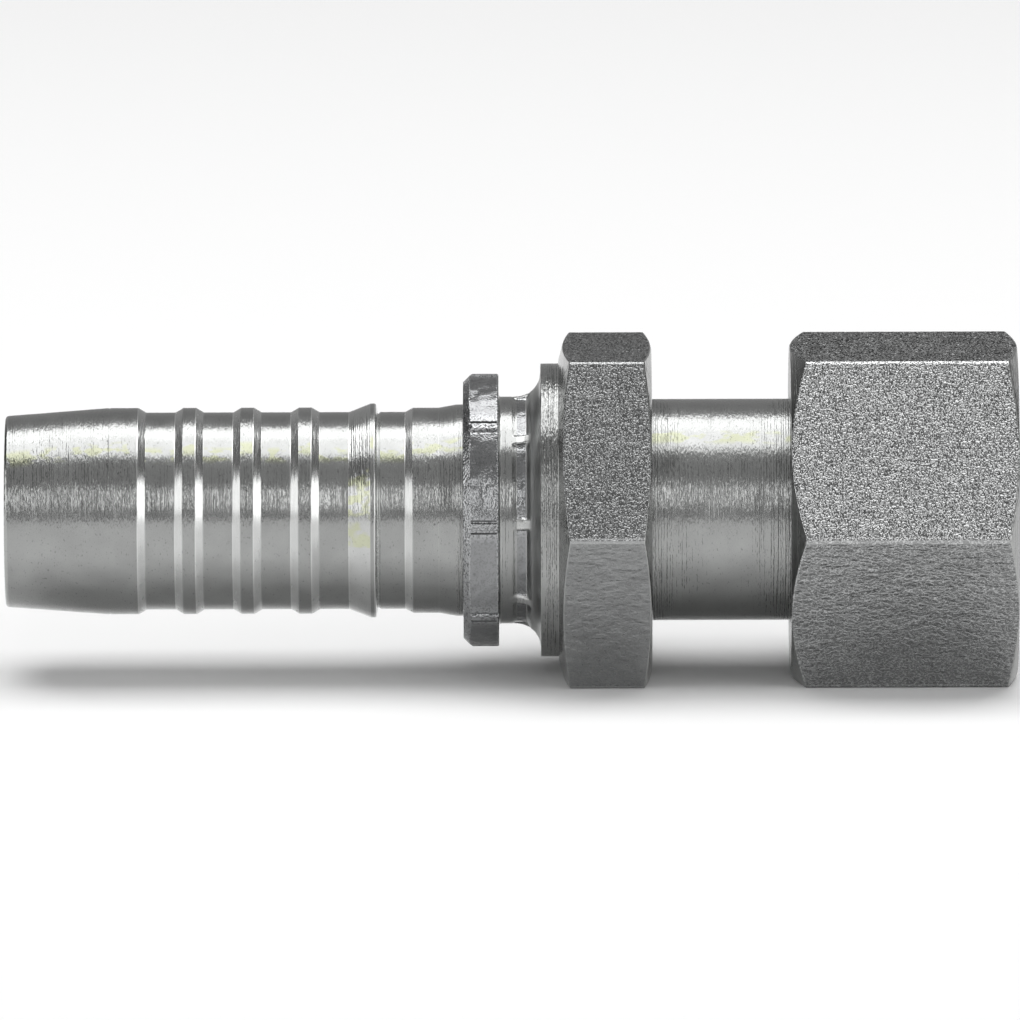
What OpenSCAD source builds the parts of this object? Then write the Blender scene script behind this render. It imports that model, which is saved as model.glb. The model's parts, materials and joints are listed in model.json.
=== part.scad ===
// Hydraulic hose fitting: a barbed tail, a hexagon collar crimped on it and a loose swivel nut.
// Each piece is drawn along +Z from the tip of the tail, then laid along +X with a flat down.

/* [Hose tail] */
// Diameter of the flow bore through the stem
flow_bore_d = 15.5; // [12:0.25:16.5]
// Diameter at the tip of the tail
tip_d = 18.5; // [17.5:0.1:19.2]
// Rounding of the outer edge of the tip
tip_round = 0.35; // [0.1:0.05:0.5]
// Length of the tapered lead-in
lead_in_len = 10.1; // [6:0.1:14]
// Diameter of the lands and ridges that grip the hose
land_d = 20; // [19.7:0.05:20.5]
// Length of the first land
first_land_len = 2.8; // [1.5:0.1:5]
// Diameter at the floor of the grooves
groove_d = 19.1; // [18.2:0.05:19.5]
// Length of a groove's floor
groove_len = 2.85; // [1.5:0.05:4]
// Length of a groove's sloped side
flank_len = 0.75; // [0.45:0.05:1.2]
// Number of ridges between the first land and the barb
ridge_count = 3; // [1:1:6]
// Length of a ridge's top
ridge_len = 1.25; // [0.6:0.05:2.5]
// Rounding of the edges of lands, ridges and grooves
edge_round = 0.2; // [0.05:0.05:0.3]
// Rounding of the barb's crest
barb_round = 0.1; // [0.05:0.01:0.15]
// Diameter at the crest of the barb
barb_d = 20.75; // [20.55:0.05:21.2]
// Length of the barb's ramp
barb_ramp_len = 2.1; // [1.2:0.1:4]
// Length of the barb's crest
barb_crest_len = 0.5; // [0.3:0.05:1]
// Lean of the barb's back face along the stem
barb_back_len = 0.2; // [0.1:0.05:0.5]
// Depth of the undercut at the foot of the barb's back face
barb_undercut = 0.2; // [0.05:0.05:0.35]
// Length of the undercut
undercut_len = 0.25; // [0.15:0.05:0.6]
// Length of the groove behind the barb, without the undercut
back_groove_len = 2.4; // [1.2:0.1:4]
// Diameter of the last land
last_land_d = 19.9; // [19.6:0.05:20.3]
// Length of the last land
last_land_len = 2.5; // [1.5:0.1:5]
// Length of the cone that leads up to the collar's seat
seat_cone_len = 1.7; // [1:0.1:3]
// Diameter of the collar's seat on the stem
seat_d = 20.5; // [20.35:0.05:20.8]
// Length of the seat left bare in front of the collar
bare_seat_len = 0.65; // [0.2:0.1:2]
// Chamfer inside the tip of the tail
tip_bore_chamfer = 0.4; // [0.2:0.05:0.6]

/* [Crimped collar] */
// Length of the locking collar
collar_len = 3.45; // [2.8:0.05:6]
// Distance across two opposite pressed faces of the locking collar
collar_d = 26; // [24.5:0.1:26.6]
// Number of press jaws, each leaving one face
jaw_count = 8; // [6:1:10]
// Diameter that the jaws' faces are ground to
jaw_face_d = 32; // [29:0.5:40]
// Width of the bar that rises between two jaws
jaw_gap = 0.8; // [0.4:0.1:1.4]
// Diameter over the bars between the jaws
jaw_bar_d = 26.55; // [26.4:0.05:27.4]
// Turn of the jaws from the flats of the hexagon, in degrees
jaw_turn = -2.3; // [-22:0.1:22]
// Chamfer on the tail side of the locking collar
collar_chamfer = 0.6; // [0.3:0.05:1]
// Diameter of the neck that holds the ferrule's lip
neck_d = 22; // [21.9:0.05:23.5]
// Length of the neck
neck_len = 4.05; // [3.4:0.05:7]
// Depth that the jaws press into the neck
neck_press_depth = 0.15; // [0.05:0.05:0.25]
// Distance from the locking collar to the middle of the band that is pressed into the neck
neck_press_mid = 2.15; // [1.6:0.05:2.2]
// Length of the pressed band's floor
neck_press_len = 0.9; // [0.5:0.05:1.2]
// Length of the raised tab left on the neck between two jaws
neck_tab_len = 1.7; // [1:0.1:1.8]
// Width of the raised tab
neck_tab_w = 1.1; // [0.6:0.1:1.6]
// Rounding from the neck up to the flange
neck_fillet = 2.4; // [1.6:0.05:2.4]
// Diameter of the round flange
flange_d = 28.4; // [27.5:0.1:29.4]
// Length of the round flange
flange_len = 1.75; // [1:0.05:4]
// Length of plain seat under the locking collar, in front of the first lock groove
lock_lead_len = 0.6; // [0.3:0.05:0.8]
// Depth of the lock groove in the stem under the collar
lock_depth = 0.5; // [0.3:0.05:0.8]
// Length of plain seat under the neck, in front of the second lock groove
neck_lead_len = 0.3; // [0.1:0.05:0.5]
// Depth of the lock groove in the stem under the neck
neck_lock_depth = 0.6; // [0.3:0.05:0.8]
// Length of each lock groove's floor
lock_len = 1.3; // [0.8:0.1:1.6]
// Diameter of the stem inside the flange and the hexagon
core_d = 21; // [20.9:0.05:21.2]
// Length of the core that reaches under the neck
core_lead_len = 0.4; // [0.2:0.05:0.6]
// Chamfer on the flange side of the locking collar
collar_back_chamfer = 0.1; // [0.05:0.05:0.3]
// How far the raised tab stands over the unpressed neck
neck_tab_rise = 0.05; // [0:0.01:0.1]
// Depth of the shoulder that stops the collar, inside the hexagon's front face
shoulder_depth = 1; // [0.5:0.1:3]

/* [Body hexagon] */
// Width across the flats of the body hexagon
body_af = 32; // [30:0.5:41]
// Length of the body hexagon
body_hex_len = 9; // [6:0.5:16]
// How much smaller the rear face's circle is than the width across flats
body_rear_inset = 2.9; // [0.4:0.1:3.2]
// How much smaller the front face's circle is than the width across flats
body_front_inset = 0.7; // [0.3:0.1:2]
// Slope of the body hexagon's chamfers, in degrees
body_chamfer_angle = 15; // [10:1:30]

/* [Swivel nut] */
// Distance from the body hexagon to the nut
stand_off_len = 13.4; // [6:0.1:25]
// Diameter of the stem where the nut turns
swivel_d = 21.45; // [21.3:0.05:21.8]
// Width across the flats of the nut
nut_af = 32; // [31:0.5:41]
// Length of the nut
nut_len = 22; // [19:0.5:30]
// How much smaller each end face's circle is than the nut's width across flats
nut_face_inset = 0.2; // [0.1:0.1:1]
// Slope of the nut's rear chamfer, in degrees
nut_rear_angle = 30; // [15:1:35]
// Slope of the nut's front chamfer, in degrees
nut_front_angle = 21; // [15:1:35]
// Radial clearance between the nut's rear bore and the stem
swivel_clearance = 0.08; // [0.03:0.01:0.1]
// Length of the nut's rear bore
nut_wall_len = 3.8; // [2.5:0.1:5]
// Play along the axis between the nut's wall and the stem's head
head_play = 0.2; // [0.1:0.05:0.5]
// Inside diameter of the nut's thread
thread_minor_d = 24.9; // [24.4:0.05:25.4]
// Outside diameter of the nut's thread
thread_major_d = 27; // [26.6:0.05:27.4]
// Radial depth of the relief and the mouth chamfer outside the thread
thread_relief = 0.1; // [0.05:0.05:0.3]
// Length of the threaded part up to the mouth
thread_len = 10; // [6:0.5:11]
// Chamfer at the edges of the nut's rear bore
rear_bore_chamfer = 0.35; // [0.2:0.05:0.6]

/* [Sealing head] */
// Radial clearance of the head inside the nut's thread
head_clearance = 0.15; // [0.1:0.05:0.3]
// Length of the head
head_len = 7.5; // [6.5:0.1:7.8]
// Slope of the sealing seat from the axis, in degrees
seat_angle = 37; // [30:1:45]
// Width of the flat rim round the sealing seat
seat_rim = 0.4; // [0.2:0.05:1]
// Chamfer on the outside edges of the head
head_chamfer = 0.3; // [0.1:0.05:0.6]

/* [Hidden] */
$fn = 128;

// Overrun of every cutting tool past the face that it cuts
past = 1;
// Facets in a rounded corner of a turned outline
arc_steps = 3;

tail_r = land_d / 2;
floor_r = groove_d / 2;
last_land_r = last_land_d / 2;
seat_r = seat_d / 2;
bore_r = flow_bore_d / 2;
core_r = core_d / 2;
swivel_r = swivel_d / 2;
pressed_neck_r = neck_d / 2 - neck_press_depth;

// Stations along the axis, from the tip of the tail
grooves_at = lead_in_len + first_land_len;
ridge_pitch = groove_len + ridge_len + 2 * flank_len;
barb_at = grooves_at + flank_len + ridge_count * ridge_pitch + groove_len;
barb_back_at = barb_at + barb_ramp_len + barb_crest_len;
undercut_at = barb_back_at + barb_back_len;
back_groove_at = undercut_at + undercut_len;
last_land_at = back_groove_at + back_groove_len + flank_len;
seat_cone_at = last_land_at + last_land_len;
seat_at = seat_cone_at + seat_cone_len;
collar_at = seat_at + bare_seat_len;
lock_at = collar_at + lock_lead_len;
neck_at = collar_at + collar_len;
neck_lock_at = neck_at + neck_lead_len;
flange_at = neck_at + neck_len;
body_hex_at = flange_at + flange_len;
shoulder_at = body_hex_at + body_hex_len - shoulder_depth;
swivel_at = body_hex_at + body_hex_len;
nut_at = swivel_at + stand_off_len;
head_at = nut_at + nut_wall_len + head_play;
head_end = head_at + head_len;
total_len = nut_at + nut_len;

// The hexagons rest on their flats, so the axis lies half their width up
axis_height = max(body_af, nut_af) / 2;

head_r = thread_minor_d / 2 - head_clearance;
seat_mouth_r = head_r - seat_rim;
seat_depth = (seat_mouth_r - bore_r) / tan(seat_angle);
relief_r = thread_major_d / 2 + thread_relief;

// Unit vector from a towards b
function toward(a, b) = (b - a) / norm(b - a);

// Points that round corner b between a and c, where b is [along, radius, rounding]
function corner(a, b, c) =
    let (at = [b[0], b[1]], u = toward(at, [a[0], a[1]]), v = toward(at, [c[0], c[1]]))
    let (half = acos(u * v) / 2, room = 0.45 * min(norm([a[0], a[1]] - at), norm([c[0], c[1]] - at)))
    let (r = min(b[2], room * tan(half)), middle = at + (u + v) / norm(u + v) * r / sin(half))
    let (from = at + u * r / tan(half) - middle, to = at + v * r / tan(half) - middle)
    let (start = atan2(from[1], from[0]), turn = atan2(cross(from, to), from * to))
    r == 0 ? [at] : [for (i = [0:arc_steps])
        middle + r * [cos(start + turn * i / arc_steps), sin(start + turn * i / arc_steps)]];

// A turned outline given as [along, radius, rounding], with its corners rounded
function rounded(outline) = let (last = len(outline) - 1)
    [for (i = [0:last]) each corner(outline[i == 0 ? last : i - 1], outline[i],
                                    outline[i == last ? 0 : i + 1])];

// Solid of revolution of points given as [along, radius]
module turned(points) {
    rotate_extrude() polygon([for (p = points) [p[1], p[0]]]);
}

// Hexagonal prism with a flat towards +X, its corners cut back by a cone at each end
module chamfered_hexagon(af, length, rear_inset, rear_angle, front_inset, front_angle) {
    outside_r = af / 2 / cos(30) + past;
    rear_r = (af - rear_inset) / 2;
    front_r = (af - front_inset) / 2;
    intersection() {
        rotate(30) cylinder(h = length, r = af / 2 / cos(30), $fn = 6);
        turned([[0, 0], [0, rear_r], [(outside_r - rear_r) * tan(rear_angle), outside_r],
                [length - (outside_r - front_r) * tan(front_angle), outside_r],
                [length, front_r], [length, 0]]);
    }
}

// One groove floor followed by one ridge, from the groove's floor onwards
function ridge_at(z) = [
    [z, floor_r, edge_round],
    [z + groove_len, floor_r, edge_round],
    [z + groove_len + flank_len, tail_r, edge_round],
    [z + groove_len + flank_len + ridge_len, tail_r, edge_round]];

tail_outline = concat(
    [[0, tip_d / 2, tip_round], [lead_in_len, tail_r, 0], [grooves_at, tail_r, edge_round]],
    [for (i = [0:ridge_count - 1]) each ridge_at(grooves_at + flank_len + i * ridge_pitch)],
    [[barb_at - groove_len, floor_r, edge_round],
     [barb_at, floor_r, edge_round],
     [barb_at + barb_ramp_len, barb_d / 2, barb_round],
     [barb_back_at, barb_d / 2, barb_round],
     [undercut_at, floor_r - barb_undercut, 0],
     [back_groove_at, floor_r, 0],
     [last_land_at - flank_len, floor_r, edge_round],
     [last_land_at, last_land_r, edge_round],
     [seat_cone_at, last_land_r, 0],
     [seat_at, seat_r, 0]]);

// Where the crimped collar grips the stem; both pieces are cut to these same points
grip_outline = [
    [collar_at, seat_r],
    [lock_at, seat_r],
    [lock_at + lock_depth, seat_r - lock_depth],
    [lock_at + lock_depth + lock_len, seat_r - lock_depth],
    [neck_at, seat_r],
    [neck_lock_at, seat_r],
    [neck_lock_at + neck_lock_depth, seat_r - neck_lock_depth],
    [neck_lock_at + neck_lock_depth + lock_len, seat_r - neck_lock_depth],
    [flange_at - core_lead_len, core_r],
    [shoulder_at, core_r],
    [shoulder_at, swivel_r]];

// Sealing head with its back edge at head_at, closed by the seat cone down to the bore
head_outline = [
    [head_at, swivel_r],
    [head_at, head_r - head_chamfer],
    [head_at + head_chamfer, head_r],
    [head_end - head_chamfer, head_r],
    [head_end, head_r - head_chamfer],
    [head_end, seat_mouth_r],
    [head_end - seat_depth, bore_r]];

module laid_down() {
    translate([-total_len / 2, 0, axis_height]) rotate([0, 90, 0]) children();
}

module stem() {
    bore = [[tip_bore_chamfer, bore_r, 0], [0, bore_r + tip_bore_chamfer, 0]];
    color("silver") laid_down()
        turned(concat(rounded(concat(bore, tail_outline)), grip_outline, head_outline));
}

// Outline across the locking collar: one shallow face for each jaw and a bar between faces
module pressed_section() {
    face_offset = (jaw_face_d - collar_d) / 2;
    intersection_for(i = [0:jaw_count - 1])
        rotate((i + 0.5) * 360 / jaw_count + 180) translate([face_offset, 0])
            circle(d = jaw_face_d);
    for (i = [0:jaw_count - 1])
        rotate(i * 360 / jaw_count) translate([seat_r, -jaw_gap / 2])
            square([jaw_bar_d / 2 - seat_r, jaw_gap]);
}

// Locking collar with its pressed faces, chamfered on the tail side
module locking_collar() {
    tip_r = collar_d / 2 - collar_chamfer;
    outside_r = jaw_bar_d / 2 + past;
    intersection() {
        rotate(jaw_turn) linear_extrude(collar_len) pressed_section();
        turned([[0, 0], [0, tip_r], [outside_r - tip_r, outside_r],
                [collar_len - collar_back_chamfer - past, outside_r],
                [collar_len, jaw_bar_d / 2 - collar_back_chamfer],
                [collar_len, 0]]);
    }
}

// Neck and flange behind the locking collar, turned in one outline
module neck_and_flange() {
    neck_r = neck_d / 2;
    press_at = neck_press_mid - neck_press_len / 2;
    press_end = neck_press_mid + neck_press_len / 2;
    rotate_extrude() difference() {
        polygon([[0, -past], [neck_r, -past], [neck_r, neck_len - neck_fillet],
                 [neck_r + neck_fillet, neck_len], [flange_d / 2, neck_len],
                 [flange_d / 2, neck_len + flange_len], [0, neck_len + flange_len]]);
        translate([neck_r + neck_fillet, neck_len - neck_fillet]) circle(r = neck_fillet);
        polygon([[pressed_neck_r, press_at], [pressed_neck_r, press_end],
                 [pressed_neck_r + past, press_end + past / 2],
                 [pressed_neck_r + past, press_at - past]]);
    }
}

// Tabs left standing on the neck between the jaws
module neck_tabs() {
    for (i = [0:jaw_count - 1])
        rotate(i * 360 / jaw_count + jaw_turn)
            translate([seat_r, -neck_tab_w / 2, neck_press_mid - neck_tab_len / 2])
                cube([neck_d / 2 + neck_tab_rise - seat_r, neck_tab_w, neck_tab_len]);
}

module hex_collar() {
    color("lightgray") laid_down() difference() {
        union() {
            translate([0, 0, collar_at]) locking_collar();
            translate([0, 0, neck_at]) {
                neck_and_flange();
                neck_tabs();
            }
            translate([0, 0, body_hex_at])
                chamfered_hexagon(body_af, body_hex_len, body_rear_inset, body_chamfer_angle,
                                  body_front_inset, body_chamfer_angle);
        }
        turned(concat([[collar_at - past, 0], [collar_at - past, seat_r]], grip_outline,
                      [[swivel_at + past, swivel_r], [swivel_at + past, 0]]));
    }
}

// Inside of the nut: rear bore, relief round the sealing head, thread core and mouth chamfer
module nut_bore() {
    rear_r = swivel_r + swivel_clearance;
    core = thread_minor_d / 2;
    thread_at = nut_len - thread_len;
    mouth = relief_r - core;
    turned([[-past, 0], [-past, rear_r + rear_bore_chamfer], [0, rear_r + rear_bore_chamfer],
            [rear_bore_chamfer, rear_r], [nut_wall_len, rear_r], [nut_wall_len, relief_r],
            [thread_at - mouth, relief_r], [thread_at, core], [nut_len - mouth, core],
            [nut_len, relief_r], [nut_len + past, relief_r], [nut_len + past, 0]]);
}

module swivel_nut() {
    color("gainsboro") laid_down() translate([0, 0, nut_at]) difference() {
        chamfered_hexagon(nut_af, nut_len, nut_face_inset, nut_rear_angle,
                          nut_face_inset, nut_front_angle);
        nut_bore();
    }
}

stem();
hex_collar();
swivel_nut();
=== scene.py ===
"""Zinc-plated hose fitting: a barbed tail, a hexagon collar crimped on it and a loose swivel nut.

Each piece is lofted round the axis: at every angle it has one closed section, from the bore to the
outside. The section is given as points (along, radius, rounding, finish), in metres from the tail.
"""

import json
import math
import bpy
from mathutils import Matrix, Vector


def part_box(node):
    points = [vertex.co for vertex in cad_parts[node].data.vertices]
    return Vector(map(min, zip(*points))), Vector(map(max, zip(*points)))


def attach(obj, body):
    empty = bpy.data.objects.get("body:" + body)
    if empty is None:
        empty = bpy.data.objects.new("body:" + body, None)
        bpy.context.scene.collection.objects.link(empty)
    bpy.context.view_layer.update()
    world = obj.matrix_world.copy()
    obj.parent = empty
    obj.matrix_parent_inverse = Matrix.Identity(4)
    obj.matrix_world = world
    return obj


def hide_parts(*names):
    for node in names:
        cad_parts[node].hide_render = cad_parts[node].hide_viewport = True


bl_info = {
    "name": "Hose Fitting",
    "version": (1, 0, 0),
    "blender": (4, 5, 0),
    "location": "3D View > Sidebar > Hose Fitting",
    "description": "Builds a zinc-plated hose fitting with a swivel nut in a plain studio",
    "category": "Add Mesh",
}

import bmesh
import bpy
from bpy.props import FloatProperty, FloatVectorProperty, IntProperty, PointerProperty
from mathutils import Matrix, Vector

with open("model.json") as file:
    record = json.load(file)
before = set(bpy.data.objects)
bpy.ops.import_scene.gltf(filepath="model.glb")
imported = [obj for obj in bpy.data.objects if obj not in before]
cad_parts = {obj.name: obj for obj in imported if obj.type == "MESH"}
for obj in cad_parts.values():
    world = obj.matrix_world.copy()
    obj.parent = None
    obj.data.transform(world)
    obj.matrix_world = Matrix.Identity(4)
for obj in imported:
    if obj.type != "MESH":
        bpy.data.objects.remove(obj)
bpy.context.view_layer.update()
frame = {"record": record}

MM = 0.001
MOUNTS = {mount["name"]: mount for mount in frame["record"]["mounts"]}

# Places on the axis, from the frame: the tail's tip is the zero that the sections count from
TIP_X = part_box("stem")[0].x
HEAD_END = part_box("stem")[1].x - TIP_X
COLLAR_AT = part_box("hex_collar")[0].x - TIP_X
SWIVEL_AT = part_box("hex_collar")[1].x - TIP_X
NUT_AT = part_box("swivel_nut")[0].x - TIP_X
NUT_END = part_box("swivel_nut")[1].x - TIP_X
BODY_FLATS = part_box("hex_collar")[1].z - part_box("hex_collar")[0].z
NUT_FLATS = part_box("swivel_nut")[1].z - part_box("swivel_nut")[0].z
AXIS_HEIGHT = (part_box("swivel_nut")[0].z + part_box("swivel_nut")[1].z) / 2

# Finishes of a section's stretches, each with a material of its own
TURNED = "turned"
LAND = "land"
PALE = "pale"
RAMP = "ramp"
SKIN = "skin"
PRESSED = "pressed"

# Shares of a bar's half width at which its top ends, its foot lies and its groove begins and ends,
# and how far past a section the strip that follows it is looked at
BAR_STEPS = (0.7, 1.0, 1.25, 1.8)
STRIP_STEP = 0.2
# Shares of a tab's half width at which its side begins, is halfway and ends
TAB_STEPS = (0.6, 1, 1.4)

# Straw stains: farthest and nearest depth in front of the axis, and the noise where they begin
LAND_STAIN = (7.2 * MM, 6.5 * MM, 0.47)
RAMP_STAIN = (12 * MM, 8.7 * MM, 0.45)
# Height above which the stains dried, and the width of their soft ends
STAIN_FLOOR = AXIS_HEIGHT - 2 * MM
STAIN_FADE = 0.4 * MM
# Ends of the range that holds most of a noise's values
NOISE_LOW = 0.3
NOISE_HIGH = 0.7

# Facets in a rounded corner, the share of a stretch that it may take up, and half the turn below
# which a corner counts as straight
CORNER_FACETS = 4
ROUNDING_ROOM = 0.45
STRAIGHT = 1e-4
# Angle between a hexagon's corners, and the shares of a rounded one at which sections lie
SIXTH = math.pi / 3
ROUND_STEPS = (-1, -0.6, -0.2, 0.2, 0.6, 1)
# Sections round a piece before its own corners are added
SECTIONS = 240
# Angle below which two sections are one
CLOSE_SECTIONS = math.radians(0.12)
# Steps along the neck between the collar and the flange
NECK_STATIONS = 36
# Rounding that deburring leaves on small edges
BROKEN_EDGE = 0.05 * MM
# Share of the thread's pitch that is flat at its root, and half the angle between its flanks
ROOT_FLAT = 0.125
FLANK_ANGLE = math.radians(30)
# Turns of the thread that are counted past each of its ends
SPARE_TURNS = 2
# Length below which two points of a mesh are one
WELD = 1e-7
# Edges that turn more than this stay sharp
SHARP_ANGLE = math.radians(32)


def mount_radius(name):
    """Radius that the record gives one mount, in metres."""
    return MOUNTS[name]["dims"]["r_mm"] * MM


def linear(colour):
    """Linear red, green and blue of an sRGB colour written as six hex digits."""
    shares = [int(colour[i:i + 2], 16) / 255 for i in (0, 2, 4)]
    return [s / 12.92 if s <= 0.04045 else ((s + 0.055) / 1.055) ** 2.4 for s in shares]


def length(name, description, default):
    """Property that holds a length in metres."""
    return FloatProperty(name=name, description=description, default=default, unit="LENGTH",
                         precision=5)


def slope(name, description, degrees):
    """Property that holds an angle, given in degrees."""
    return FloatProperty(name=name, description=description, default=math.radians(degrees),
                         subtype="ANGLE")


def swatch(name, description, digits):
    """Property that holds a colour, given as six hex digits."""
    return FloatVectorProperty(name=name, description=description, default=linear(digits),
                               size=3, subtype="COLOR")


class TailSizes(bpy.types.PropertyGroup):
    """Sizes of the turned stem."""

    bore_radius: length("Bore", "Radius of the flow bore", mount_radius("flow_bore"))
    land_radius: length("Lands", "Radius of the lands and ridges", mount_radius("hose_tail"))
    tip_radius: length("Tip", "Radius at the tip of the tail", 9.25 * MM)
    tip_rounding: length("Tip rounding", "Rounding of the tip's outer edge", 0.35 * MM)
    bore_chamfer: length("Bore chamfer", "Chamfer inside the tip", 0.4 * MM)
    lead_in: length("Lead-in", "Length of the tapered lead-in", 10.1 * MM)
    mark_width: length("Tool mark", "Width of the line after the lead-in", 0.3 * MM)
    mark_depth: length("Mark depth", "Depth of that line", 0.045 * MM)
    first_land: length("First land", "Length of the first land", 2.8 * MM)
    floor_radius: length("Groove floor", "Radius at the groove's floor", 9.55 * MM)
    groove: length("Groove", "Length of a groove's floor", 2.85 * MM)
    flank: length("Flank", "Length of a groove's sloped side", 0.75 * MM)
    ridge: length("Ridge", "Length of a ridge's top", 1.25 * MM)
    ridges: IntProperty(name="Ridges", description="Ridges between the first land and the barb",
                        default=3, min=1, max=6)
    edge_rounding: length("Edge rounding", "Rounding of lands and grooves", 0.2 * MM)
    barb_radius: length("Barb", "Radius at the crest of the barb", 10.375 * MM)
    barb_ramp: length("Barb ramp", "Length of the barb's ramp", 2.1 * MM)
    barb_crest: length("Barb crest", "Length of the barb's crest", 0.5 * MM)
    barb_rounding: length("Barb rounding", "Rounding of the barb's crest", 0.1 * MM)
    barb_back: length("Barb back", "Lean of the barb's back face", 0.2 * MM)
    undercut_depth: length("Undercut depth", "Depth of the undercut", 0.2 * MM)
    undercut: length("Undercut", "Length of the undercut's slope", 0.25 * MM)
    undercut_rounding: length("Undercut rounding", "Rounding of its floor", 0.04 * MM)
    back_groove: length("Back groove", "Groove's floor behind the barb", 2.4 * MM)
    last_land_radius: length("Last land", "Radius of the last land", 9.95 * MM)
    last_land: length("Last land length", "Length of the last land", 2.5 * MM)
    seat_radius: length("Seat", "Radius of the collar's seat on the stem", 10.25 * MM)
    seat_cone: length("Seat cone", "Length of the cone up to the seat", 1.7 * MM)
    core_radius: length("Core", "Radius of the stem inside the hexagon", 10.5 * MM)
    swivel_radius: length("Neck", "Radius of the stem where the nut turns", 10.725 * MM)
    head_gap: length("Head gap", "From the nut's wall to the head", 0.2 * MM)
    head_clearance: length("Head clearance", "Head inside the thread", 0.15 * MM)
    head_chamfer: length("Head chamfer", "Chamfers on the sealing head", 0.3 * MM)
    head_rim: length("Head rim", "From the head's outside to the seat", 0.4 * MM)
    seat_rounding: length("Seat rounding", "Rounding of the seat's edges", 0.1 * MM)
    seat_angle: slope("Seat angle", "Slope of the sealing seat", 37)


class CollarSizes(bpy.types.PropertyGroup):
    """Sizes of the crimped collar with its neck, flange and hexagon."""

    collar: length("Collar", "Length of the locking collar", 3.45 * MM)
    face_radius: length("Pressed face", "Axis to the middle of a face", 13 * MM)
    jaw_radius: length("Jaw", "Radius that the jaws are ground to", 16 * MM)
    jaws: IntProperty(name="Jaws", description="Number of press jaws", default=8, min=6, max=10)
    jaw_turn: slope("Jaw turn", "Turn of the bars from the flats", 2.3)
    bar_width: length("Bar width", "Width of the bar between two jaws", 0.8 * MM)
    bar_radius: length("Bars", "Radius over the bars", 13.275 * MM)
    scuff_reach: length("Scuffs", "How far from a bar the jaws scuffed", 2 * MM)
    bar_groove: length("Bar groove", "Depth of the line beside a bar", 0.12 * MM)
    chamfer: length("Collar chamfer", "Chamfer on the tail side", 0.6 * MM)
    neck_radius: length("Neck", "Radius of the neck for the ferrule", 11 * MM)
    neck: length("Neck length", "Length of the neck", 4.05 * MM)
    press_depth: length("Press depth", "Depth of the band in the neck", 0.15 * MM)
    press_middle: length("Press middle", "From the collar to the band", 2.15 * MM)
    press_length: length("Press length", "Length of the band's floor", 0.9 * MM)
    press_wall: length("Press wall", "Length of the band's soft walls", 0.5 * MM)
    tab_width: length("Tab width", "Width of a raised tab", 1.1 * MM)
    tab_rise: length("Tab rise", "Height of a tab over the neck", 0.05 * MM)
    fillet: length("Fillet", "Rounding from the neck to the flange", 2.4 * MM)
    collar_fillet: length("Collar fillet", "Rounding behind the collar", 0.3 * MM)
    flange_radius: length("Flange", "Radius of the round flange", 14.2 * MM)
    flange: length("Flange length", "Length of the round flange", 1.75 * MM)
    edge_rounding: length("Edge rounding", "Rounding of turned edges", 0.08 * MM)
    flat_rounding: length("Flat rounding", "Rounding beside the flats", 0.15 * MM)
    back_rounding: length("Back rounding", "Rounding of the faces' backs", 0.2 * MM)
    rear_inset: length("Rear inset", "Rear face inside the flats", 1.45 * MM)
    front_inset: length("Front inset", "Front face inside the flats", 0.35 * MM)
    chamfer_angle: slope("Chamfer slope", "Slope of both chamfers", 15)
    corner_rounding: length("Corners", "Rounding of the six corners", 0.6 * MM)


class GripSizes(bpy.types.PropertyGroup):
    """Lock grooves in the stem that the crimp fills."""

    lock_lead: length("Lock lead", "Plain seat before the first groove", 0.6 * MM)
    lock_depth: length("Lock depth", "Depth of the first groove", 0.5 * MM)
    neck_lead: length("Neck lead", "Plain seat before the second groove", 0.3 * MM)
    neck_depth: length("Neck depth", "Depth of the second groove", 0.6 * MM)
    floor: length("Groove floor", "Length of each groove's floor", 1.3 * MM)
    core_lead: length("Core lead", "Core that reaches under the neck", 0.4 * MM)
    shoulder: length("Shoulder", "Depth of the stop inside the hexagon", 1 * MM)


class NutSizes(bpy.types.PropertyGroup):
    """Sizes of the swivel nut."""

    face_inset: length("Face inset", "End faces inside the flats", 0.1 * MM)
    rear_angle: slope("Rear slope", "Slope of the rear chamfer", 30)
    front_angle: slope("Front slope", "Slope of the front chamfer", 21)
    wall: length("Wall", "Length of the rear bore", 3.8 * MM)
    clearance: length("Clearance", "Rear bore's clearance on the stem", 0.08 * MM)
    thread: length("Thread", "Length of the threaded part", 10 * MM)
    core_radius: length("Thread core", "Inside radius of the thread", mount_radius("nut_thread"))
    major_radius: length("Thread root", "Outside radius of the thread", 13.5 * MM)
    relief: length("Relief", "Relief's depth beyond the thread's root", 0.1 * MM)
    bore_chamfer: length("Bore chamfer", "Chamfer of the rear bore", 0.35 * MM)
    bore_rounding: length("Bore rounding", "Rounding inside the rear bore", 0.1 * MM)
    edge_rounding: length("Edge rounding", "Rounding of turned edges", 0.12 * MM)
    flat_rounding: length("Flat rounding", "Rounding beside the flats", 0.2 * MM)
    pitch: length("Pitch", "Distance between two turns of the thread", 25.4 / 12 * MM)
    corner_rounding: length("Corners", "Rounding of the six corners", 0.8 * MM)


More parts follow.
